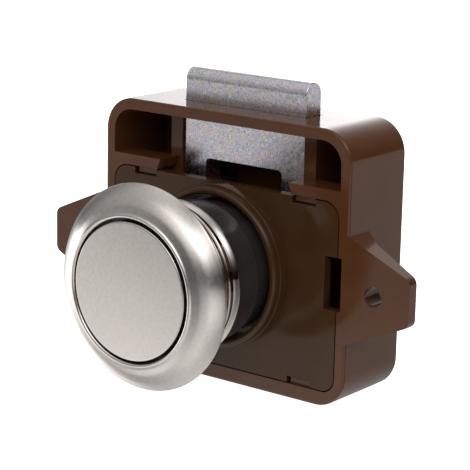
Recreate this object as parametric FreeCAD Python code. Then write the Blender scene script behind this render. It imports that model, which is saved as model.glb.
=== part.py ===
"""Push-button cupboard lock: a moulded case with two ears, a sliding steel bolt and a round push knob.

Frame: the knob's axis is the Y axis, and Y = 0 is the case's front face, which lies against the door's
inner side. The knob points to -Y, the case lies behind the face on +Y and the bolt leaves it upwards, +Z.
The lock is modelled locked: the bolt is out and the button is level with its ring. Sizes are millimetres.
"""
import FreeCAD
import Part
import math
import os

from FreeCAD import Vector

# Case
case_width = 45.2
case_height = 40.5
case_depth = 13.8
axis_to_base = 17.85
case_corner_radius = 5.0
case_front_edge_radius = 0.35
case_back_edge_radius = 0.3
side_wall = 1.65
top_wall = 1.65
bottom_wall = 2.2
back_wall = 1.2
cavity_top_radius = 3.4
cavity_bottom_radius = 2.2

# Shelves that frame the cover's top edge
shelf_underside = 12.5
shelf_height = 1.6
shelf_depth = 4.6
shelf_end_top = 11.9
shelf_end_bottom = 12.5

# Ears and their screw holes
ear_reach = 10.4
ear_root_height = 15.8
ear_tip_height = 6.6
ear_tip_radius = 1.3
ear_root_thickness = 5.0
ear_neck_reach = 2.9
ear_neck_thickness = 3.1
ear_tip_thickness = 1.7
screw_spacing = 54.0
screw_hole_radius = 1.5
screw_boss_radius = 3.0
screw_boss_rear = 3.8

# Cover plate, its collar, notches and side windows
plate_thickness = 1.6
plate_seam = 0.2
plate_top_radius = 2.4
collar_height = 2.9
collar_clearance = 0.3
collar_bead_radius = 0.58
collar_ledge_height = 1.75
collar_ledge_width = 0.29
collar_ledge_round = 0.12
collar_seat_depth = 0.3
notch_inner_x = 12.6
notch_outer_x = 16.8
notch_height = 0.95
notch_ledge = 0.45
catch_clearance = 0.12
catch_side_clearance = 0.36
catch_thickness = 0.5
window_width = 2.1
window_height = 7.8
window_center_z = 0.65
rim_relief = 0.6
rim_relief_depth = 3.0
plate_post_radius = 1.5
plate_post_inset = 1.2

# Knob: ring, sleeve, button and plunger
panel_thickness = 17.3
flange_overhang = 3.2
flange_height = 3.4
flange_edge_radius = 0.25
flange_rim_height = 0.5
flange_crown_inset = 1.3
flange_crown_height = 2.0
flange_shoulder_inset = 3.3
flange_shoulder_height = 3.05
ring_lip_width = 0.85
ring_lip_round = 0.3
barrel_length = 7.6
barrel_radius = 11.7
barrel_wall = 1.1
barrel_groove_depth = 0.3
barrel_groove_width = 0.5
barrel_groove_places = (3.0, 4.5, 5.35)
barrel_end_radius = 0.45
sleeve_wall = 1.64
sleeve_end_radius = 0.35
sleeve_stand_off = 4.45
sleeve_front_inset = 0.4
spigot_wall = 1.0
seat_clearance = 0.04
guide_clearance = 0.06
cap_clearance = 0.66
cap_gap = 0.42
cap_proud = 0.2
cap_wall = 0.6
cap_length = 3.0
cap_edge_radius = 0.45
shank_clearance = 0.5
shank_corner_radius = 2.5
lug_width = 2.3
lug_height = 2.1
lug_length = 1.5

# Travel: the button's stroke out, its overtravel in and the bolt's throw
button_stroke = 6.6
button_overtravel = 0.6
bolt_throw = 4.95
stop_clearance = 0.2

# Bolt
bolt_width = 22.3
bolt_thickness = 3.65
bolt_front_y = 4.95
bolt_corner_radius = 1.5
bolt_side_clearance = 0.2
bolt_face_clearance = 0.15
leg_width = 4.15
bolt_notch_top = 14.2
bolt_notch_radius = 0.7
leg_shoulder_z = 11.2
leg_shoulder_radius = 1.3
leg_tang_width = 2.7
leg_bottom = 7.0

# Carrier that joins the bolt's legs, with a slanted drive slot in each cheek
carrier_top = 10.8
carrier_clearance = 0.25
cheek_gap = 0.3
bridge_height = 3.1
bridge_gap = 0.8
bridge_front_y = 5.6
tang_clearance = 0.06
rivet_radius = 0.9
rivet_head_radius = 1.5
rivet_head_height = 0.5
peg_radius = 0.9
peg_reach = 2.4
peg_seat_depth = 1.6
peg_inset = 1.65
slot_clearance = 0.07
slot_floor_clearance = 0.2

# Guide ribs beside the bolt
rib_width = 2.1
rib_front_y = 4.5

# Main spring and its post
spring_bore_wall = 1.9
spring_bore_front_y = -8.0
spring_bore_clearance = 0.5
spring_wire_radius = 0.4
spring_turns = 8
wire_sides = 10
spring_post_clearance = 0.4
spring_post_height = 2.4

# Push-push latch: a torsion spring on the cover whose arm rides in the plunger's heart track
latch_post_z = -13.0
latch_post_radius = 1.05
latch_post_height = 3.0
latch_coil_radius = 1.5
latch_wire_radius = 0.3
latch_coil_turns = 1.75
latch_coil_pitch = 0.72
latch_coil_gap = 0.35
latch_arm_knee_z = -8.0
latch_brace_length = 5.5
latch_brace_width = 1.2
track_depth = 1.0
track_half_width = 0.55
track_tip_gap = 0.25
track_side_x = 1.3
track_turn_x = 0.7
track_shoulder = 0.5
track_funnel = 2.1

# Places worked out from the sizes above
case_half_width = case_width / 2
case_top = case_height - axis_to_base
case_bottom = -axis_to_base
cavity_x = case_half_width - side_wall
cavity_top = case_top - top_wall
cavity_bottom = case_bottom + bottom_wall
cavity_back = case_depth - back_wall
shelf_top = shelf_underside + shelf_height
plate_x = cavity_x - plate_seam
plate_top = shelf_underside - plate_seam
plate_bottom = cavity_bottom + plate_seam
flange_rear = -panel_thickness
ring_front = flange_rear - flange_height
cap_front = ring_front - cap_proud
cap_rear = cap_front + cap_length
sleeve_radius = barrel_radius - barrel_wall
guide_radius = sleeve_radius - sleeve_wall
plunger_radius = guide_radius - guide_clearance
cap_radius = sleeve_radius - cap_clearance
ring_bore_radius = cap_radius + cap_gap
flange_radius = barrel_radius + flange_overhang
barrel_rear = flange_rear + barrel_length
collar_mouth_radius = sleeve_radius + collar_clearance
sleeve_rear = -sleeve_stand_off
sleeve_front = flange_rear + sleeve_front_inset
spigot_radius = guide_radius + spigot_wall
plate_bore_radius = spigot_radius + seat_clearance
plunger_rear = cavity_back - stop_clearance - button_overtravel
peg_y = plunger_rear - peg_inset
bolt_half_width = bolt_width / 2
bolt_notch_half_width = bolt_half_width - leg_width
shank_half = bolt_notch_half_width - shank_clearance
spring_bore_radius = shank_half - spring_bore_wall
spring_mean_radius = spring_bore_radius - spring_bore_clearance - spring_wire_radius
spring_post_radius = spring_mean_radius - spring_wire_radius - spring_post_clearance
bolt_back_y = bolt_front_y + bolt_thickness
bolt_tip = case_top + bolt_throw
drive_ratio = bolt_throw / button_stroke
bolt_overtravel = drive_ratio * button_overtravel
cheek_inner_x = shank_half + cheek_gap
carrier_front_y = plate_thickness + carrier_clearance
carrier_back_y = cavity_back - carrier_clearance
bridge_top = -shank_half - bridge_gap
bridge_bottom = bridge_top - bridge_height
shank_start = carrier_front_y - button_overtravel - stop_clearance
peg_end_x = shank_half + peg_reach
rib_x = bolt_half_width + bolt_side_clearance
latch_arm_y = (plate_thickness + latch_coil_gap + latch_wire_radius
               + latch_coil_turns * latch_coil_pitch)

X_AXIS = Vector(1, 0, 0)
Y_AXIS = Vector(0, 1, 0)
Z_AXIS = Vector(0, 0, 1)
ORIGIN = Vector(0, 0, 0)
CUT_MARGIN = 1.0
TINY = 0.01
ARC_SHARE = 1 - math.sqrt(0.5)


def box(x_range, y_range, z_range):
    """A block between two values on each axis."""
    low = Vector(min(x_range), min(y_range), min(z_range))
    sides = [abs(pair[1] - pair[0]) for pair in (x_range, y_range, z_range)]
    return Part.makeBox(sides[0], sides[1], sides[2], low)


def rod(radius, y_range, x=0.0, z=0.0):
    """A cylinder along Y."""
    return Part.makeCylinder(radius, y_range[1] - y_range[0], Vector(x, y_range[0], z), Y_AXIS)


def face_from(points, arc_middles=()):
    """A flat face inside a closed outline; the listed points are the middles of arcs."""
    edges = []
    index = 0
    total = len(points)
    while index < total:
        start = points[index]
        after = points[(index + 1) % total]
        if index + 1 in arc_middles:
            end = points[(index + 2) % total]
            edges.append(Part.Arc(start, after, end).toShape())
            index += 2
        else:
            edges.append(Part.LineSegment(start, after).toShape())
            index += 1
    return Part.Face(Part.Wire(edges))


def turned(profile, arc_middles=()):
    """A solid of revolution about Y from an outline of (radius, y) pairs."""
    face = face_from([Vector(radius, y, 0) for radius, y in profile], arc_middles)
    return face.revolve(ORIGIN, Y_AXIS, 360)


def rounded_plate(x_range, z_range, radii, y_range):
    """A plate with rounded corners, radii given as (bottom, top), between two depths."""
    (left, right), (low, high) = x_range, z_range
    bottom, top = radii
    low_inset, high_inset = bottom * ARC_SHARE, top * ARC_SHARE
    points = [
        (left + bottom, low), (right - bottom, low),
        (right - low_inset, low + low_inset), (right, low + bottom),
        (right, high - top), (right - high_inset, high - high_inset), (right - top, high),
        (left + top, high), (left + high_inset, high - high_inset), (left, high - top),
        (left, low + bottom), (left + low_inset, low + low_inset),
    ]
    face = face_from([Vector(x, y_range[0], z) for x, z in points], (2, 5, 8, 11))
    return face.extrude(Vector(0, y_range[1] - y_range[0], 0))


def mirrored(shape):
    """The same shape on the other side of the plane X = 0."""
    return shape.mirror(ORIGIN, X_AXIS)


def both_sides(shape):
    """A list of a shape and its mirror image in X."""
    return [shape, mirrored(shape)]


def slot(start, end, half_width, x_range):
    """A round-ended slot in the YZ plane between two (y, z) points, through a range of X."""
    depth = x_range[1] - x_range[0]
    along = Vector(0, end[0] - start[0], end[1] - start[1])
    length = along.Length
    block = Part.makeBox(depth, length, 2 * half_width, Vector(x_range[0], 0, -half_width))
    angle = math.degrees(math.atan2(end[1] - start[1], end[0] - start[0]))
    block.rotate(ORIGIN, X_AXIS, angle)
    block.translate(Vector(0, start[0], start[1]))
    ends = [Part.makeCylinder(half_width, depth, Vector(x_range[0], y, z), X_AXIS)
            for y, z in (start, end)]
    return block.fuse(ends).removeSplitter()


def edges_at(shape, test):
    """The edges whose centre passes a test."""
    return [edge for edge in shape.Edges if test(edge.CenterOfMass)]


def round_rim(shape, size, radius, y):
    """Rounds the circular edge of a turned shape that has a given radius and place along Y."""
    rims = [edge for edge in shape.Edges if edge.Curve.TypeId == "Part::GeomCircle"
            and abs(edge.Curve.Radius - radius) < TINY and abs(edge.Curve.Center.y - y) < TINY]
    return shape.makeFillet(size, rims)


def ear():
    """The right ear: a tapered tongue with a gusset at the wall, and a screw hole with a boss behind."""
    root = case_half_width - side_wall / 2
    tip = case_half_width + ear_reach
    half_tip = ear_tip_height / 2
    slope = (ear_root_height - ear_tip_height) / 2 / ear_reach
    half_root = ear_root_height / 2 + slope * (case_half_width - root)
    tongue = face_from([Vector(root, 0, -half_root), Vector(tip, 0, -half_tip),
                        Vector(tip, 0, half_tip), Vector(root, 0, half_root)])
    tongue = tongue.extrude(Vector(0, case_depth, 0))
    tip_edges = edges_at(tongue, lambda center: abs(center.x - tip) < TINY and abs(center.z) > half_tip / 2)
    tongue = tongue.makeFillet(ear_tip_radius, tip_edges)
    neck = case_half_width + ear_neck_reach
    section = face_from([
        Vector(root, 0, -case_height), Vector(tip, 0, -case_height),
        Vector(tip, ear_tip_thickness, -case_height), Vector(neck, ear_neck_thickness, -case_height),
        Vector(case_half_width, ear_root_thickness, -case_height),
        Vector(root, ear_root_thickness, -case_height),
    ]).extrude(Vector(0, 0, 2 * case_height))
    shape = tongue.common(section)
    hole_x = screw_spacing / 2
    boss = rod(screw_boss_radius, (ear_tip_thickness / 2, screw_boss_rear), hole_x)
    hole = rod(screw_hole_radius, (-CUT_MARGIN, case_depth), hole_x)
    return shape.fuse(boss).cut(hole)


def case_block():
    """The case's outer block, rounded at its corners and eased round its front and back."""
    block = rounded_plate((-case_half_width, case_half_width), (case_bottom, case_top),
                          (case_corner_radius, case_corner_radius), (0, case_depth))
    block = block.makeFillet(case_back_edge_radius,
                             edges_at(block, lambda center: center.y > case_depth - TINY))
    return block.makeFillet(case_front_edge_radius, edges_at(block, lambda center: center.y < TINY))


def shelf():
    """The right shelf above the cover, with the fillet that follows the cover's top corner."""
    corner_z = shelf_underside - plate_top_radius - plate_seam
    outline = face_from([
        Vector(shelf_end_bottom, 0, corner_z), Vector(cavity_x + side_wall / 2, 0, corner_z),
        Vector(cavity_x + side_wall / 2, 0, shelf_top), Vector(shelf_end_top, 0, shelf_top),
        Vector(shelf_end_bottom, 0, shelf_underside),
    ]).extrude(Vector(0, shelf_depth, 0))
    recess = rounded_plate((-cavity_x, cavity_x), (cavity_bottom, shelf_underside),
                           (cavity_bottom_radius, plate_top_radius + plate_seam),
                           (-CUT_MARGIN, shelf_depth + CUT_MARGIN))
    return outline.cut(recess)


def catches():
    """The right pair of snap catches that hold the cover by its notches."""
    y_range = (plate_thickness - notch_ledge - catch_clearance - catch_thickness,
               plate_thickness - notch_ledge - catch_clearance)
    x_range = (notch_inner_x + catch_side_clearance, notch_outer_x - catch_side_clearance)
    reach = notch_height + plate_seam - 2 * catch_clearance
    upper = box(x_range, y_range, (shelf_underside - reach, shelf_underside + shelf_height / 2))
    lower = box(x_range, y_range, (cavity_bottom - bottom_wall / 2, cavity_bottom + reach))
    return [upper, lower]


def plate_posts():
    """The right pair of posts on the back wall that the cover rests on."""
    x = plate_x - plate_post_inset
    heights = (plate_bottom + plate_post_inset, plate_top - plate_post_inset)
    return [rod(plate_post_radius, (plate_thickness, cavity_back), x, z) for z in heights]


def make_case():
    """The moulded case: open front, slot for the bolt, ears, shelves, ribs, posts and catches."""
    shape = case_block().fuse(both_sides(ear()))
    cavity = rounded_plate((-cavity_x, cavity_x), (cavity_bottom, cavity_top),
                           (cavity_bottom_radius, cavity_top_radius), (-CUT_MARGIN, cavity_back))
    shape = shape.cut(cavity)
    rib = box((rib_x, rib_x + rib_width), (rib_front_y, cavity_back + back_wall / 2),
              (cavity_bottom - bottom_wall / 2, cavity_top + top_wall / 2))
    spring_post = rod(spring_post_radius, (cavity_back - spring_post_height, cavity_back))
    additions = [spring_post]
    for piece in [rib, shelf()] + catches() + plate_posts():
        additions += both_sides(piece)
    shape = shape.fuse(additions)
    bolt_slot = box((-rib_x, rib_x),
                    (bolt_front_y - bolt_face_clearance, bolt_back_y + bolt_face_clearance),
                    (cavity_top - CUT_MARGIN, case_top + CUT_MARGIN))
    relief = box((cavity_x - CUT_MARGIN, cavity_x + rim_relief), (-CUT_MARGIN, rim_relief_depth),
                 (window_center_z - window_height / 2, window_center_z + window_height / 2))
    return shape.cut([bolt_slot] + both_sides(relief)).removeSplitter()


def collar():
    """The raised collar on the cover: a rounded bead round its mouth and a ledge at the bead's foot."""
    bead_outer = collar_mouth_radius + 2 * collar_bead_radius
    base_radius = bead_outer + collar_ledge_width
    shape = turned([
        (collar_mouth_radius, plate_thickness),
        (collar_mouth_radius, collar_bead_radius - collar_height),
        (collar_mouth_radius + collar_bead_radius, -collar_height),
        (bead_outer, collar_bead_radius - collar_height),
        (bead_outer, -collar_ledge_height),
        (base_radius, -collar_ledge_height),
        (base_radius, plate_thickness),
    ], (2,))
    return round_rim(shape, collar_ledge_round, base_radius, -collar_ledge_height)


def make_cover():
    """The cover plate with its collar, edge notches, side windows and the latch spring's post."""
    plate = rounded_plate((-plate_x, plate_x), (plate_bottom, plate_top),
                          (cavity_bottom_radius - plate_seam, plate_top_radius), (0, plate_thickness))
    post = rod(latch_post_radius, (plate_thickness, plate_thickness + latch_post_height), 0, latch_post_z)
    brace_z = latch_post_z + latch_coil_radius + latch_wire_radius
    brace = box((-latch_brace_length, -latch_brace_length + latch_brace_width),
                (plate_thickness, plate_thickness + latch_post_height),
                (brace_z, brace_z + latch_brace_width))
    shape = plate.fuse([collar(), post, brace])
    mouth = rod(collar_mouth_radius, (-collar_height - CUT_MARGIN, collar_seat_depth))
    bore = rod(plate_bore_radius, (-CUT_MARGIN, plate_thickness + CUT_MARGIN))
    cuts = [mouth, bore]
    notch_y = (-CUT_MARGIN, plate_thickness - notch_ledge)
    notch_x = (notch_inner_x, notch_outer_x)
    notches = [box(notch_x, notch_y, (plate_top - notch_height, plate_top + CUT_MARGIN)),
               box(notch_x, notch_y, (plate_bottom - CUT_MARGIN, plate_bottom + notch_height))]
    window = box((plate_x - window_width, plate_x + CUT_MARGIN),
                 (-CUT_MARGIN, plate_thickness + CUT_MARGIN),
                 (window_center_z - window_height / 2, window_center_z + window_height / 2))
    for piece in notches + [window]:
        cuts += both_sides(piece)
    return shape.cut(cuts).removeSplitter()


def make_ring():
    """The plated ring: a domed flange with a raised lip and a barrel with grip grooves."""
    profile = [
        (ring_bore_radius, ring_front + ring_lip_round),
        (ring_bore_radius + ring_lip_width / 2, ring_front),
        (ring_bore_radius + ring_lip_width, ring_front + ring_lip_round),
        (flange_radius - flange_shoulder_inset, flange_rear - flange_shoulder_height),
        (flange_radius - flange_crown_inset, flange_rear - flange_crown_height),
        (flange_radius, flange_rear - flange_rim_height),
        (flange_radius, flange_rear),
        (barrel_radius, flange_rear),
    ]
    for place in barrel_groove_places:
        middle = flange_rear + place
        profile += [(barrel_radius, middle - barrel_groove_width / 2),
                    (barrel_radius - barrel_groove_depth, middle),
                    (barrel_radius, middle + barrel_groove_width / 2)]
    profile += [(barrel_radius, barrel_rear), (sleeve_radius, barrel_rear),
                (sleeve_radius, sleeve_front), (ring_bore_radius, sleeve_front)]
    shape = turned(profile, (1, 4))
    shape = round_rim(shape, flange_edge_radius, flange_radius, flange_rear)
    return round_rim(shape, barrel_end_radius, barrel_radius, barrel_rear)


def make_sleeve():
    """The black sleeve in the ring, which guides the plunger and seats in the cover with its spigot."""
    shape = turned([
        (guide_radius, sleeve_front), (sleeve_radius, sleeve_front),
        (sleeve_radius, sleeve_rear), (spigot_radius, sleeve_rear),
        (spigot_radius, plate_thickness), (guide_radius, plate_thickness),
    ])
    return round_rim(shape, sleeve_end_radius, sleeve_radius, sleeve_rear)


def make_cap():
    """The button's plated cap, a shallow cup pressed over the plunger's head."""
    shape = turned([
        (0, cap_front), (cap_radius, cap_front),
        (cap_radius, cap_rear), (cap_radius - cap_wall, cap_rear),
        (cap_radius - cap_wall, cap_front + cap_wall), (0, cap_front + cap_wall),
    ])
    return round_rim(shape, cap_edge_radius, cap_radius, cap_front)


def heart_track():
    """The heart-shaped track under the shank: two lanes round an island, and the notch that locks."""
    locked_y = latch_arm_y
    turn_y = locked_y - button_overtravel
    released_y = locked_y + button_stroke
    route = [(0, released_y), (-track_side_x, released_y - track_funnel),
             (-track_side_x, turn_y + track_shoulder), (-track_turn_x, turn_y), (0, locked_y),
             (track_turn_x, turn_y), (track_side_x, turn_y + track_shoulder),
             (track_side_x, released_y - track_funnel), (0, released_y)]
    floor = -shank_half + track_depth
    lanes = []
    for (x0, y0), (x1, y1) in zip(route, route[1:]):
        length = math.hypot(x1 - x0, y1 - y0)
        lane = Part.makeBox(length, 2 * track_half_width, track_depth + CUT_MARGIN,
                            Vector(0, -track_half_width, floor - track_depth - CUT_MARGIN))
        lane.rotate(ORIGIN, Z_AXIS, math.degrees(math.atan2(y1 - y0, x1 - x0)))
        lane.translate(Vector(x0, y0, 0))
        round_end = Part.makeCylinder(track_half_width, track_depth + CUT_MARGIN,
                                      Vector(x0, y0, floor - track_depth - CUT_MARGIN), Z_AXIS)
        lanes += [lane, round_end]
    return lanes[0].fuse(lanes[1:])


def make_plunger():
    """The plunger: a round head and guide, a square shank, stop lugs, peg seats and the heart track."""
    head_radius = cap_radius - cap_wall
    head = rod(head_radius, (cap_front + cap_wall, cap_rear))
    guide = rod(plunger_radius, (cap_rear, shank_start))
    shank = box((-shank_half, shank_half), (shank_start, plunger_rear), (-shank_half, shank_half))
    shank = shank.makeFillet(shank_corner_radius, edges_at(
        shank, lambda center: min(abs(center.x), abs(center.z)) > shank_half - TINY))
    lug_front = plate_thickness + stop_clearance + button_stroke
    lug = box((shank_half - lug_width, shank_half), (lug_front, lug_front + lug_length),
              (shank_half - shank_corner_radius, shank_half + lug_height))
    shape = head.fuse([guide, shank] + both_sides(lug))
    bore = rod(spring_bore_radius, (spring_bore_front_y, plunger_rear + CUT_MARGIN))
    seat = Part.makeCylinder(peg_radius, peg_seat_depth + CUT_MARGIN,
                             Vector(shank_half - peg_seat_depth, peg_y, 0), X_AXIS)
    return shape.cut([bore, heart_track()] + both_sides(seat)).removeSplitter()


def make_peg():
    """The right drive peg, pressed into the plunger's side and riding in the carrier's slot."""
    start = shank_half - peg_seat_depth
    return Part.makeCylinder(peg_radius, peg_end_x - start, Vector(start, peg_y, 0), X_AXIS)


def make_bolt():
    """The bolt: a steel plate with a full-round edge, a notch below and two shouldered legs."""
    crest_radius = bolt_thickness / 2
    side = bolt_half_width
    tang = bolt_notch_half_width + leg_tang_width
    outline = rounded_plate((-side, side), (leg_shoulder_z, bolt_tip),
                            (leg_shoulder_radius, bolt_corner_radius), (bolt_front_y, bolt_back_y))
    outline = outline.fuse(both_sides(box((bolt_notch_half_width, tang), (bolt_front_y, bolt_back_y),
                                          (leg_bottom, leg_shoulder_z + leg_shoulder_radius))))
    notch = rounded_plate((-bolt_notch_half_width, bolt_notch_half_width),
                          (leg_bottom - CUT_MARGIN - bolt_notch_radius, bolt_notch_top),
                          (bolt_notch_radius, bolt_notch_radius),
                          (bolt_front_y - CUT_MARGIN, bolt_back_y + CUT_MARGIN))
    outline = outline.cut(notch)
    middle_y = bolt_front_y + crest_radius
    section = face_from([
        Vector(-side, bolt_front_y, leg_bottom), Vector(-side, bolt_front_y, bolt_tip - crest_radius),
        Vector(-side, middle_y, bolt_tip), Vector(-side, bolt_back_y, bolt_tip - crest_radius),
        Vector(-side, bolt_back_y, leg_bottom),
    ], (2,)).extrude(Vector(2 * side, 0, 0))
    shape = outline.common(section)
    return shape.cut(rivet_holes()).removeSplitter()


def rivet_places():
    """The (x, z) places of the two rivets."""
    x = bolt_notch_half_width + leg_tang_width / 2
    z = (leg_bottom + leg_shoulder_z) / 2
    return [(x, z), (-x, z)]


def rivet_holes():
    """Cutters for the two rivet holes, right through the legs and cheeks."""
    return [rod(rivet_radius, (carrier_front_y - CUT_MARGIN, carrier_back_y + CUT_MARGIN), x, z)
            for x, z in rivet_places()]


def make_carrier():
    """The moulded carrier: two cheeks with slanted drive slots, a bridge below and pockets for the legs."""
    y_range = (carrier_front_y, carrier_back_y)
    cheek = box((cheek_inner_x, bolt_half_width), y_range, (bridge_bottom, carrier_top))
    bridge = box((-cheek_inner_x, cheek_inner_x), (bridge_front_y, carrier_back_y),
                 (bridge_bottom, bridge_top))
    shape = bridge.fuse(both_sides(cheek))
    pocket = box((cheek_inner_x - CUT_MARGIN, bolt_notch_half_width + leg_tang_width + tang_clearance),
                 (bolt_front_y - tang_clearance, bolt_back_y + tang_clearance),
                 (leg_bottom - tang_clearance, carrier_top + CUT_MARGIN))
    low = (peg_y + button_overtravel, -bolt_overtravel)
    high = (peg_y - button_stroke, bolt_throw)
    drive = slot(low, high, peg_radius + slot_clearance,
                 (cheek_inner_x - CUT_MARGIN, peg_end_x + slot_floor_clearance))
    counterbores = [rod(rivet_head_radius + tang_clearance, y_pair, x, z) for x, z in rivet_places()
                    for y_pair in ((carrier_front_y - CUT_MARGIN, carrier_front_y + rivet_head_height),
                                   (carrier_back_y - rivet_head_height, carrier_back_y + CUT_MARGIN))]
    cuts = both_sides(pocket) + both_sides(drive) + counterbores + rivet_holes()
    return shape.cut(cuts).removeSplitter()


def make_rivet(x, z):
    """A rivet through a cheek and a leg, its heads sunk level with the cheek."""
    shank = rod(rivet_radius, (carrier_front_y, carrier_back_y), x, z)
    front = rod(rivet_head_radius, (carrier_front_y, carrier_front_y + rivet_head_height), x, z)
    back = rod(rivet_head_radius, (carrier_back_y - rivet_head_height, carrier_back_y), x, z)
    return shank.fuse([front, back]).removeSplitter()


def helix_wire(mean_radius, wire_radius, pitch, turns):
    """A coil of wire about +Y that starts on +X at Y = 0; the wire's section has many flat sides."""
    path = Part.makeHelix(pitch, pitch * turns, mean_radius)
    lean = math.atan2(pitch, 2 * math.pi * mean_radius)
    corners = []
    for index in range(wire_sides):
        angle = 2 * math.pi * index / wire_sides
        rise = wire_radius * math.sin(angle)
        corners.append(Vector(mean_radius + wire_radius * math.cos(angle),
                              -rise * math.sin(lean), rise * math.cos(lean)))
    section = Part.makePolygon(corners + corners[:1])
    coil = Part.Wire(path).makePipeShell([section], True, True)
    coil.rotate(ORIGIN, X_AXIS, -90)
    return coil


def make_main_spring():
    """The main spring, between the case's back wall and the end of the plunger's bore."""
    length = cavity_back - spring_bore_front_y - 2 * spring_wire_radius
    pitch = length / spring_turns
    turn = helix_wire(spring_mean_radius, spring_wire_radius, pitch, 1)
    turns = [turn.translated(Vector(0, spring_bore_front_y + spring_wire_radius + index * pitch, 0))
             for index in range(spring_turns)]
    return turns[0].fuse(turns[1:])


def wire_run(points, radius):
    """Straight round wire through points, with ball-shaped bends."""
    pieces = []
    for start, end in zip(points, points[1:]):
        along = end - start
        pieces.append(Part.makeCylinder(radius, along.Length, start, along))
        pieces.append(Part.makeSphere(radius, start))
    pieces.append(Part.makeSphere(radius, points[-1]))
    return pieces


def make_latch_spring():
    """The latch spring: a small coil on the cover's post, a brace leg and the arm that rides the track."""
    coil = helix_wire(latch_coil_radius, latch_wire_radius, latch_coil_pitch, latch_coil_turns)
    coil.rotate(ORIGIN, Y_AXIS, -90)
    first_y = plate_thickness + latch_coil_gap + latch_wire_radius
    coil.translate(Vector(0, first_y, latch_post_z))
    brace = [Vector(-latch_brace_length, first_y, latch_post_z + latch_coil_radius),
             Vector(0, first_y, latch_post_z + latch_coil_radius)]
    tip_z = -shank_half + track_depth - track_tip_gap - latch_wire_radius
    arm = [Vector(-latch_coil_radius, latch_arm_y, latch_post_z),
           Vector(0, latch_arm_y, latch_arm_knee_z), Vector(0, latch_arm_y, tip_z)]
    return coil.fuse(wire_run(brace, latch_wire_radius) + wire_run(arm, latch_wire_radius))


def main():
    """Builds every piece and writes one STEP file for each."""
    pieces = {
        "case": make_case(),
        "cover_plate": make_cover(),
        "knob_ring": make_ring(),
        "knob_sleeve": make_sleeve(),
        "button_cap": make_cap(),
        "plunger": make_plunger(),
        "drive_peg_right": make_peg(),
        "drive_peg_left": mirrored(make_peg()),
        "bolt": make_bolt(),
        "bolt_carrier": make_carrier(),
        "main_spring": make_main_spring(),
        "latch_spring": make_latch_spring(),
    }
    for name, place in zip(("carrier_rivet_right", "carrier_rivet_left"), rivet_places()):
        pieces[name] = make_rivet(*place)
    os.makedirs("parts", exist_ok=True)
    for name, shape in pieces.items():
        shape.exportStep(f"parts/{name}.step")
        print(name, shape.isValid(), len(shape.Solids), round(shape.Volume, 2))


main()
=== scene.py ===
"""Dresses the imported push-button cupboard lock and sets it in a plain studio.

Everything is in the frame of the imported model, in metres: the knob's axis is Y, the case's front face is
Y = 0 and the bolt points up. The solids of the case, cover, plunger, carrier, springs, pegs and rivets keep
their own objects and get their finishes here. The turned pieces of the knob and the bolt are made again
with finer edges, to the sizes of the nodes that they replace. Outlines are written in millimetres.
"""
import math

import bmesh
import bpy
from mathutils import Matrix, Vector


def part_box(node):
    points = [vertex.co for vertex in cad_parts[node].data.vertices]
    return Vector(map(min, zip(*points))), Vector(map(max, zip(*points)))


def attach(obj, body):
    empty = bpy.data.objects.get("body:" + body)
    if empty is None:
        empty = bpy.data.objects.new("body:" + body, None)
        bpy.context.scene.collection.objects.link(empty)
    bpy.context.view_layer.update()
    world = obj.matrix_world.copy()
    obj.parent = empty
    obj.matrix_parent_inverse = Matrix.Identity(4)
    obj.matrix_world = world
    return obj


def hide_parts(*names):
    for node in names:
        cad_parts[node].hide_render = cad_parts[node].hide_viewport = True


MM = 0.001

# Steps of a full turn of a turned piece, and across a rounded edge
TURN_STEPS = 256
EDGE_STEPS = 3

# Degrees: edges sharper than this keep a crease in the shading, or are rounded
CREASE_ANGLE = 32
ROUNDED_ANGLE = 40

# The photograph's view of the lock
VIEW_AZIMUTH = math.radians(37.606)
VIEW_ELEVATION = math.radians(13.714)
VIEW_ROLL = math.radians(1.243)
VIEW_DISTANCE = 275.905 * MM
VIEW_CENTRE = Vector((1.314, 1.618, 4.369)) * MM
VIEW_LENS = 143.435
SENSOR_WIDTH = 36.0

# The ring's flange, mm. Its rear face lies against the door, and its heights stand on that face
FLANGE_REAR = -17.3
RING_BORE = 10.36
LIP_ROUNDING = 0.34
LIP_HEIGHT = 3.06
LIP_FOOT = 3.02
RIM_ROUNDING = 0.2

# The flange's face from the lip to the rim, mm: inset from the rim's radius, and height
FLANGE_FACE = (
    (3.94, 3.29), (3.84, 3.2), (3.6, 3.1), (3.2, 2.97), (2.7, 2.79), (2.1, 2.47),
    (1.5, 2.07), (0.95, 1.55), (0.45, 0.96), (0.12, 0.5), (0.0, 0.28), (0.0, 0.2),
)

# The ring's barrel, mm, from the flange to its rear end: where two ridges start and end, then the points
# of a groove and of a bead, each a radius and a place
BARREL_RADIUS = 11.5
RIDGES = ((-13.6, -12.85), (-12.7, -12.3))
RIDGE_RADIUS = 11.7
RIDGE_CROWN = 0.01
RIDGE_FOOT = 0.02
RIDGE_FRONT_ROUNDING = 0.18
RIDGE_REAR_ROUNDING = 0.2
GROOVE = ((11.3, -12.1), (11.3, -11.5))
BEAD = (
    (11.2, -11.6), (11.3, -11.4), (11.46, -11.15), (11.57, -10.9), (11.65, -10.65),
    (11.69, -10.42), (11.64, -10.2), (11.45, -10.08), (11.3, -10.05), (11.3, -9.9),
)

# The cap, mm: its dome, the radii at which the dome has points, its edge and its wall
DISC_DOME = 0.15
DOME_RADII = (0, 1, 2, 3, 4, 5, 6, 7, 8, 9, 9.6)
CAP_ROUNDING = 0.15
CAP_WALL = 0.6

# The sleeve, mm
SLEEVE_BORE = 8.96
SLEEVE_SHOULDER = -4.45
SLEEVE_ROUNDING = 0.35
SPIGOT_RADIUS = 9.96

# The bolt, mm: its shoulders, its two legs and the notch between them
SHOULDER_HEIGHT = 11.2
SHOULDER_ROUNDING = 1.3
LEG_OUTSIDE = 9.7
LEG_INSIDE = 7.0
NOTCH_TOP = 14.2
NOTCH_ROUNDING = 0.7

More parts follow.
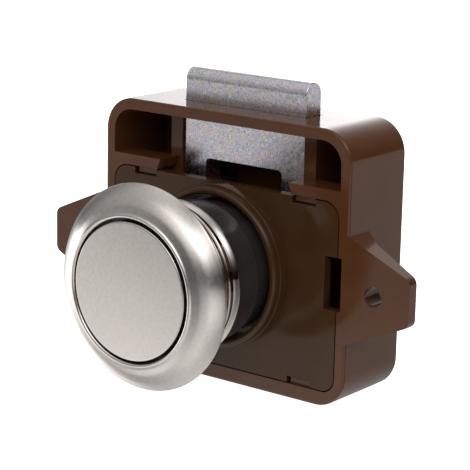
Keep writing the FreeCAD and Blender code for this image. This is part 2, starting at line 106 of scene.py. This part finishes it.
# Widths of the small rounded edges, mm
BOLT_EDGE = 0.25
MOULDED_EDGES = {"case": 0.25, "cover_plate": 0.1}

# The table lies a little below the case, mm, and reaches far past the view, metres
TABLE_GAP = 0.05
TABLE_REACH = 2.0

# Soft lights above and below the horizon: azimuth from the lock's front and elevation in degrees, how
# narrow the light is, and its strength
ROOM_LIGHTS = {
    "window behind": (-170, 6, 20, 8.6),
    "window behind, left": (-142, 12, 20, 1.9),
    "right softbox": (42, 36, 30, 3.3),
    "front softbox": (17, 30, 34, 1.3),
    "top softbox": (2, 47, 16, 1.6),
    "side softbox": (90, 48, 24, 3.0),
    "right wall": (130, 42, 20, 0.35),
    "left wall": (-58, 34, 3, 0.5),
    "ceiling": (-132, 75, 8, 0.9),
}
TABLE_LIGHTS = {
    "left reflector": (-77, -4, 20, 3.7),
    "left table": (-108, -28, 20, 1.9),
    "near left table": (-41, -30, 18, 1.5),
    "near table": (14, -46, 8, 0.9),
    "front table": (28, -15, 30, 0.35),
    "right table": (54, -17, 14, 1.15),
    "table behind": (158, -1, 8, 0.7),
    "table below": (173, -71, 3, 1.0),
}
HORIZON_BLUR = 0.02
LIGHT_MAP_SIZE = 256


def box_in_mm(node):
    """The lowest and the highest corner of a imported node, in millimetres."""
    low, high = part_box(node)
    return low / MM, high / MM


def colour(code):
    """A linear colour with alpha from an sRGB hex code such as "#8090a0"."""
    linear = []
    for place in (1, 3, 5):
        share = int(code[place:place + 2], 16) / 255
        linear.append(share / 12.92 if share <= 0.04045 else ((share + 0.055) / 1.055) ** 2.4)
    return linear + [1.0]


def add_node(tree, kind, settings=None, **inputs):
    """Adds a node with its settings, and sets or links its inputs.

    An input goes by its name, with underscores for spaces, or by its number, such as _0 for the first.
    """
    node = tree.nodes.new(kind)
    for name, value in (settings or {}).items():
        setattr(node, name, value)
    for name, value in inputs.items():
        socket = node.inputs[int(name[1:])] if name[1:].isdigit() else node.inputs[name.replace("_", " ")]
        if isinstance(value, bpy.types.NodeSocket):
            tree.links.new(value, socket)
        else:
            socket.default_value = value
    return node


def new_material(name):
    """An empty node material and its shader, already linked to the output."""
    material = bpy.data.materials.new(name)
    material.use_nodes = True
    material.node_tree.nodes.clear()
    shader = material.node_tree.nodes.new("ShaderNodeBsdfPrincipled")
    add_node(material.node_tree, "ShaderNodeOutputMaterial", Surface=shader.outputs["BSDF"])
    return material, shader


def direction(azimuth, elevation):
    """The direction at an azimuth from the lock's front and an elevation, both in radians."""
    level = math.cos(elevation)
    return Vector((math.sin(azimuth) * level, -math.cos(azimuth) * level, math.sin(elevation)))


def place_camera():
    """The camera at the photograph's angle, distance and lens."""
    back = direction(VIEW_AZIMUTH, VIEW_ELEVATION)
    level_right = Vector((0, 0, 1)).cross(back).normalized()
    level_up = back.cross(level_right)
    right = math.cos(VIEW_ROLL) * level_right + math.sin(VIEW_ROLL) * level_up
    up = back.cross(right)
    data = bpy.data.cameras.new("photo_camera")
    data.lens = VIEW_LENS
    data.sensor_width = SENSOR_WIDTH
    data.clip_start = 10 * MM
    camera = bpy.data.objects.new("photo_camera", data)
    turn = Matrix((right, up, back)).transposed().to_4x4()
    camera.matrix_world = Matrix.Translation(VIEW_CENTRE + back * VIEW_DISTANCE) @ turn
    bpy.context.collection.objects.link(camera)
    bpy.context.scene.camera = camera


def arc(centre, radius, start, end, steps):
    """Points of an arc in a plane, with its angles in degrees from the first axis towards the second."""
    points = []
    for index in range(steps + 1):
        angle = math.radians(start + (end - start) * index / steps)
        points.append((centre[0] + radius * math.cos(angle), centre[1] + radius * math.sin(angle)))
    return points


def soft_curve(points, steps):
    """Points of a smooth curve through a few points, of which the first and the last only guide its ends."""
    curve = []
    for index in range(1, len(points) - 2):
        before, start, end, after = (Vector(point) for point in points[index - 1:index + 3])
        for step in range(steps):
            t = step / steps
            bend = (2 * before - 5 * start + 4 * end - after) * t ** 2
            twist = (3 * start - before - 3 * end + after) * t ** 3
            place = 0.5 * (2 * start + (end - before) * t + bend + twist)
            curve.append((place.x, place.y))
    return curve + [tuple(points[-2])]


def soften_edges(piece, width):
    """Rounds a piece's sharp edges by a small real width in mm."""
    rounding = piece.modifiers.new("edge_rounding", "BEVEL")
    rounding.width = width * MM
    rounding.segments = EDGE_STEPS
    rounding.limit_method = "ANGLE"
    rounding.angle_limit = math.radians(ROUNDED_ANGLE)
    rounding.harden_normals = True


def new_piece(name, form, material, rounding=0.0):
    """A smooth-shaded piece from mesh data, with creases kept at its sharp edges, or those edges rounded."""
    mesh = bpy.data.meshes.new(name)
    bmesh.ops.recalc_face_normals(form, faces=form.faces)
    form.to_mesh(mesh)
    form.free()
    mesh.polygons.foreach_set("use_smooth", [True] * len(mesh.polygons))
    mesh.set_sharp_from_angle(angle=math.radians(CREASE_ANGLE))
    mesh.materials.append(material)
    piece = bpy.data.objects.new(name, mesh)
    bpy.context.collection.objects.link(piece)
    if rounding:
        soften_edges(piece, rounding)
    shading = piece.modifiers.new("even_shading", "WEIGHTED_NORMAL")
    shading.keep_sharp = True
    return piece


def turned(name, outline, material):
    """A piece turned about the knob's axis from a closed outline of (radius, y) points."""
    form = bmesh.new()
    rings = []
    for radius, y in outline:
        count = TURN_STEPS if radius > 0 else 1
        turns = [math.tau * index / count for index in range(count)]
        rings.append([form.verts.new((radius * MM * math.cos(turn), y * MM, radius * MM * math.sin(turn)))
                      for turn in turns])
    for first, second in zip(rings, rings[1:] + rings[:1]):
        if len(first) == len(second) == 1:
            continue
        for index in range(TURN_STEPS):
            after = (index + 1) % TURN_STEPS
            corners = [first[index % len(first)], first[after % len(first)],
                       second[after % len(second)], second[index % len(second)]]
            form.faces.new(list(dict.fromkeys(corners)))
    return new_piece(name, form, material)


def ring_outline():
    """The ring's section: bore, rolled lip, rounded face, rim, rear face and the ridged barrel."""
    _, ring_high = box_in_mm("knob_ring")
    sleeve_low, sleeve_high = box_in_mm("knob_sleeve")
    rim_radius, barrel_rear = ring_high.x, ring_high.y
    barrel_bore, barrel_seat = sleeve_high.x, sleeve_low.y
    outline = [(RING_BORE, barrel_seat), (RING_BORE, FLANGE_REAR - LIP_FOOT)]
    outline += arc((RING_BORE + LIP_ROUNDING, FLANGE_REAR - LIP_HEIGHT), LIP_ROUNDING, 186, 318, 10)
    outline += soft_curve([(rim_radius - inset, FLANGE_REAR - height) for inset, height in FLANGE_FACE], 5)
    outline += arc((rim_radius - RIM_ROUNDING, FLANGE_REAR - RIM_ROUNDING), RIM_ROUNDING, 0, 90, 5)
    outline += [(BARREL_RADIUS, FLANGE_REAR), (BARREL_RADIUS, RIDGES[0][0] - RIDGE_FOOT)]
    for front, rear in RIDGES:
        outline += arc((RIDGE_RADIUS - RIDGE_FRONT_ROUNDING, front + RIDGE_FRONT_ROUNDING),
                       RIDGE_FRONT_ROUNDING, 270, 350, 5)
        outline += [(RIDGE_RADIUS + RIDGE_CROWN, (front + rear) / 2)]
        outline += arc((RIDGE_RADIUS - RIDGE_REAR_ROUNDING, rear - RIDGE_REAR_ROUNDING),
                       RIDGE_REAR_ROUNDING, 10, 90, 5)
    outline += GROOVE
    outline += soft_curve(BEAD, 4)
    outline += [(barrel_bore, barrel_rear), (barrel_bore, barrel_seat)]
    return outline


def cap_outline():
    """The cap's section: a disc that is a little domed, with a small rolled edge and a short skirt."""
    low, high = box_in_mm("button_cap")
    radius, front, rear = high.x, low.y, high.y
    disc_radius, inside = radius - CAP_ROUNDING, radius - CAP_WALL
    outline = [(reach, front + DISC_DOME * (reach / disc_radius) ** 2) for reach in DOME_RADII]
    outline += arc((disc_radius, front + DISC_DOME + CAP_ROUNDING), CAP_ROUNDING, 270, 360, 6)
    outline += [(radius, rear), (inside, rear), (inside, front + CAP_WALL), (0, front + CAP_WALL)]
    return outline


def sleeve_outline():
    """The sleeve's section: the guide bore, the round outside and the spigot in the cover."""
    low, high = box_in_mm("knob_sleeve")
    radius, front, rear = high.x, low.y, high.y
    outline = [(SLEEVE_BORE, front), (radius, front)]
    outline += arc((radius - SLEEVE_ROUNDING, SLEEVE_SHOULDER - SLEEVE_ROUNDING), SLEEVE_ROUNDING, 0, 90, 6)
    outline += [(SPIGOT_RADIUS, SLEEVE_SHOULDER), (SPIGOT_RADIUS, rear), (SLEEVE_BORE, rear)]
    return outline


def bolt_outline(side, foot, crest_foot):
    """The bolt's front outline below its crest, from the right end to the left: shoulders, legs, notch."""
    shoulder_middle = (side - SHOULDER_ROUNDING, SHOULDER_HEIGHT + SHOULDER_ROUNDING)
    half = [(side, crest_foot)] + arc(shoulder_middle, SHOULDER_ROUNDING, 360, 270, 8)
    half += [(LEG_OUTSIDE, SHOULDER_HEIGHT), (LEG_OUTSIDE, foot), (LEG_INSIDE, foot)]
    half += arc((LEG_INSIDE - NOTCH_ROUNDING, NOTCH_TOP - NOTCH_ROUNDING), NOTCH_ROUNDING, 0, 90, 6)
    return half + [(-x, z) for x, z in reversed(half)]


def plate_bolt(material):
    """The bolt: a steel plate with a full-round crest, square at its ends, with small rounded edges."""
    low, high = box_in_mm("bolt")
    side, crest_radius = high.x, (high.y - low.y) / 2
    crest_middle = (low.y + crest_radius, high.z - crest_radius)
    crest = arc(crest_middle, crest_radius, 180, 0, 24)[1:-1]
    outline = bolt_outline(side, low.z, high.z - crest_radius)
    form = bmesh.new()
    front = [form.verts.new((x * MM, low.y * MM, z * MM)) for x, z in outline]
    back = [form.verts.new((x * MM, high.y * MM, z * MM)) for x, z in outline]
    right = [front[0]] + [form.verts.new((side * MM, y * MM, z * MM)) for y, z in crest] + [back[0]]
    left = [front[-1]] + [form.verts.new((-side * MM, y * MM, z * MM)) for y, z in crest] + [back[-1]]
    for face in (front, back, right, left):
        form.faces.new(face)
    for line in (list(zip(front, back)), list(zip(right, left))):
        for (start, across), (end, beyond) in zip(line, line[1:]):
            form.faces.new((start, end, beyond, across))
    return new_piece("bolt_plate", form, material, BOLT_EDGE)


def place_in_mm(tree):
    """The place on the piece in mm, as a socket."""
    place = add_node(tree, "ShaderNodeTexCoord").outputs["Object"]
    scaled = add_node(tree, "ShaderNodeVectorMath", {"operation": "SCALE"}, Vector=place, Scale=1 / MM)
    return scaled.outputs["Vector"]


def grain(tree, place, size, detail=2.0):
    """Noise with features of a size in mm, from 0 to 1."""
    return add_node(tree, "ShaderNodeTexNoise", Vector=place, Scale=1 / size, Detail=detail).outputs["Fac"]


def between(tree, value, low, high, start=0.0, end=1.0):
    """A value brought from one range to another, smoothly and held at its ends."""
    return add_node(tree, "ShaderNodeMapRange", {"interpolation_type": "SMOOTHSTEP"}, Value=value,
                    From_Min=low, From_Max=high, To_Min=start, To_Max=end).outputs["Result"]


def clouds(tree, place, size, detail=2.0, start=0.0, end=1.0):
    """Soft patches of a size in mm, as a value that drifts over a whole range."""
    return between(tree, grain(tree, place, size, detail), 0.3, 0.7, start, end)


def blended(tree, share, first, second):
    """Two colours, or sockets of them, blended by a share."""
    node = add_node(tree, "ShaderNodeMix", {"data_type": "RGBA"}, Factor=share)
    # A mix node's colour inputs are numbers 6 and 7, and its colour output is number 2
    for socket, value in ((node.inputs[6], first), (node.inputs[7], second)):
        if isinstance(value, bpy.types.NodeSocket):
            tree.links.new(value, socket)
        else:
            socket.default_value = colour(value)
    return node.outputs[2]


def roughen(tree, shader, height, depth):
    """Gives a shader fine relief of a depth in mm."""
    bump = add_node(tree, "ShaderNodeBump", Height=height, Distance=depth * MM, Strength=1.0)
    tree.links.new(bump.outputs["Normal"], shader.inputs["Normal"])


def moulded_brown(name, light, dark, shine):
    """Brown polystyrene, injection moulded: glossy, with faint clouds in its colour, slightly uneven."""
    material, shader = new_material(name)
    tree = material.node_tree
    place = place_in_mm(tree)
    tree.links.new(blended(tree, clouds(tree, place, 6.0, 3.0), dark, light), shader.inputs["Base Color"])
    tree.links.new(clouds(tree, place, 3.0, start=0.11, end=0.15), shader.inputs["Roughness"])
    shader.inputs["IOR"].default_value = 1.55
    shader.inputs["Specular IOR Level"].default_value = shine
    roughen(tree, shader, grain(tree, place, 0.8), 0.002)
    return material


def black_nylon():
    """Black nylon, injection moulded: satin, a little grey where light falls on it, with a fine grain."""
    material, shader = new_material("moulded_black_nylon")
    tree = material.node_tree
    place = place_in_mm(tree)
    tone = blended(tree, clouds(tree, place, 4.0), "#2f2b2b", "#353130")
    tree.links.new(tone, shader.inputs["Base Color"])
    shader.inputs["Roughness"].default_value = 0.17
    shader.inputs["IOR"].default_value = 1.53
    roughen(tree, shader, grain(tree, place, 0.8), 0.002)
    return material


def satin_nickel():
    """Nickel plate on brass: satin on the flange and disc, left bright on the barrel behind the flange."""
    material, shader = new_material("satin_nickel_plate")
    tree = material.node_tree
    place = place_in_mm(tree)
    tone = blended(tree, clouds(tree, place, 0.5, 3.0), "#d5cdc7", "#dad3cd")
    tree.links.new(tone, shader.inputs["Base Color"])
    shader.inputs["Metallic"].default_value = 1.0
    along = add_node(tree, "ShaderNodeSeparateXYZ", Vector=place).outputs["Y"]
    barrel = between(tree, along, FLANGE_REAR - 0.1, FLANGE_REAR + 0.1)
    satin = clouds(tree, place, 0.5, start=0.21, end=0.24)
    finish = add_node(tree, "ShaderNodeMix", {"data_type": "FLOAT"}, Factor=barrel, _2=satin, _3=0.07)
    tree.links.new(finish.outputs[0], shader.inputs["Roughness"])
    return material


def zinc_steel():
    """Zinc plated steel, barrel plated: bright crystal grain, clouds, and faint colours of its passivation.

    The real grain is under 0.1 mm and is drawn at 0.24 mm, as coarse as it needs to show.
    """
    material, shader = new_material("zinc_plated_steel")
    tree = material.node_tree
    place = place_in_mm(tree)
    speckle = between(tree, grain(tree, place, 0.24, 3.0), 0.38, 0.62)
    cloud = clouds(tree, place, 0.7, 4.0, end=0.5)
    tone = blended(tree, cloud, blended(tree, speckle, "#b5b4bb", "#ffffff"), "#ebeaf0")
    # Blue, yellow and pink tints, each from its own part of the noise
    for shift, tint in ((0.0, "#d0d3f6"), (40.0, "#f2e8cf"), (80.0, "#f0daea")):
        apart = add_node(tree, "ShaderNodeVectorMath", _0=place, _1=(shift, 0.0, shift))
        patch = between(tree, grain(tree, apart.outputs["Vector"], 1.6, 4.0), 0.45, 0.65, 0.0, 0.45)
        tone = blended(tree, patch, tone, tint)
    tree.links.new(tone, shader.inputs["Base Color"])
    shader.inputs["Metallic"].default_value = 1.0
    tree.links.new(between(tree, cloud, 0.0, 0.5, 0.2, 0.3), shader.inputs["Roughness"])
    roughen(tree, shader, speckle, 0.004)
    return material


def drawn_steel():
    """Spring steel, drawn: a bright, slightly blurred grey with faint uneven patches."""
    material, shader = new_material("drawn_spring_steel")
    tree = material.node_tree
    tone = blended(tree, clouds(tree, place_in_mm(tree), 0.4), "#a9a9ab", "#c2c2c4")
    tree.links.new(tone, shader.inputs["Base Color"])
    shader.inputs["Metallic"].default_value = 1.0
    shader.inputs["Roughness"].default_value = 0.3
    return material


def white_acrylic():
    """White acrylic sheet, lit from below, so that it stays white round the lock."""
    material, shader = new_material("white_acrylic_table")
    shader.inputs["Base Color"].default_value = colour("#f4f4f4")
    shader.inputs["Roughness"].default_value = 0.6
    shader.inputs["Emission Color"].default_value = colour("#ffffff")
    shader.inputs["Emission Strength"].default_value = 1.0
    return material


def dress_nodes(frame, finishes):
    """Gives every solid that keeps its object its finish."""
    for name, material in finishes.items():
        for slot in frame["nodes"][name].material_slots:
            slot.material = material


def lay_table():
    """A lit white table under the lock. It shows, but the lights below reach the lock through it."""
    case_low, _ = box_in_mm("case")
    form = bmesh.new()
    bmesh.ops.create_grid(form, x_segments=8, y_segments=8, size=TABLE_REACH)
    table = new_piece("table", form, white_acrylic())
    table.location.z = (case_low.z - TABLE_GAP) * MM
    table.visible_diffuse = table.visible_glossy = table.visible_shadow = False


def glow_of(tree, ray, lights):
    """The sum of soft lights painted on the world, each strongest in its own direction."""
    glow = 0.0
    for azimuth, elevation, narrowness, strength in lights.values():
        aim = direction(math.radians(azimuth), math.radians(elevation))
        nearness = add_node(tree, "ShaderNodeVectorMath", {"operation": "DOT_PRODUCT"}, _0=ray, _1=aim)
        falloff = add_node(tree, "ShaderNodeMath", {"operation": "MULTIPLY_ADD"},
                           _0=nearness.outputs["Value"], _1=narrowness, _2=-narrowness)
        spread = add_node(tree, "ShaderNodeMath", {"operation": "EXPONENT"}, _0=falloff.outputs[0])
        total = add_node(tree, "ShaderNodeMath", {"operation": "MULTIPLY_ADD"},
                         _0=spread.outputs[0], _1=strength, _2=glow)
        glow = total.outputs[0]
    return glow


def light_studio():
    """A studio: soft lights painted on the world, and plain white where the camera looks past the lock."""
    scene = bpy.context.scene
    scene.view_settings.view_transform = "Standard"
    world = bpy.data.worlds.new("white_studio")
    scene.world = world
    # A small map of where the light comes from is enough for lights this soft, and quick to make
    world.cycles.sampling_method = "MANUAL"
    world.cycles.sample_map_resolution = LIGHT_MAP_SIZE
    world.use_nodes = True
    tree = world.node_tree
    tree.nodes.clear()
    ray = add_node(tree, "ShaderNodeTexCoord").outputs["Generated"]
    height = add_node(tree, "ShaderNodeSeparateXYZ", Vector=ray).outputs["Z"]
    above = between(tree, height, -HORIZON_BLUR, HORIZON_BLUR)
    glow = add_node(tree, "ShaderNodeMix", {"data_type": "FLOAT"}, Factor=above,
                    _2=glow_of(tree, ray, TABLE_LIGHTS), _3=glow_of(tree, ray, ROOM_LIGHTS))
    seen = add_node(tree, "ShaderNodeLightPath").outputs["Is Camera Ray"]
    level = add_node(tree, "ShaderNodeMix", {"data_type": "FLOAT"}, Factor=seen, _2=glow.outputs[0], _3=1.0)
    background = add_node(tree, "ShaderNodeBackground", Strength=level.outputs[0])
    add_node(tree, "ShaderNodeOutputWorld", Surface=background.outputs[0])


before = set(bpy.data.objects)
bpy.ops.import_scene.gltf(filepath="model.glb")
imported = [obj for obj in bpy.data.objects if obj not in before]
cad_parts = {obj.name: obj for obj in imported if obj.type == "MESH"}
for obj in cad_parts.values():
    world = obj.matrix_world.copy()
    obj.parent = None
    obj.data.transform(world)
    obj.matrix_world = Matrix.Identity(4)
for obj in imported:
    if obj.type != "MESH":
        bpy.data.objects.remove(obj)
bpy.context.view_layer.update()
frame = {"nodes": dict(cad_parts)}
place_camera()
brown = moulded_brown("moulded_brown_polystyrene", "#5e381f", "#58341c", 0.36)
# The cover's brown is a darker copy of the case's, as painted shade for the lesser light that falls on the
# cover under the knob, and the cover is also duller than the case
shaded_cover_brown = moulded_brown("moulded_brown_polystyrene_cover_shaded", "#48301b", "#422b17", 0.25)
black, nickel = black_nylon(), satin_nickel()
zinc, steel = zinc_steel(), drawn_steel()
dress_nodes(frame, {
    "case": brown, "cover_plate": shaded_cover_brown, "plunger": black, "bolt_carrier": black,
    "drive_peg_right": steel, "drive_peg_left": steel, "carrier_rivet_right": steel,
    "carrier_rivet_left": steel, "main_spring": steel, "latch_spring": steel,
})
ring = turned("knob_ring_plated", ring_outline(), nickel)
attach(ring, "lock_case")
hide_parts("knob_ring")
cap = turned("button_cap_plated", cap_outline(), nickel)
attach(cap, "button")
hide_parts("button_cap")
sleeve = turned("knob_sleeve_moulded", sleeve_outline(), black)
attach(sleeve, "lock_case")
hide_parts("knob_sleeve")
bolt = plate_bolt(zinc)
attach(bolt, "sliding_bolt")
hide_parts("bolt")
for name, width in MOULDED_EDGES.items():
    soften_edges(frame["nodes"][name], width)
lay_table()
light_studio()
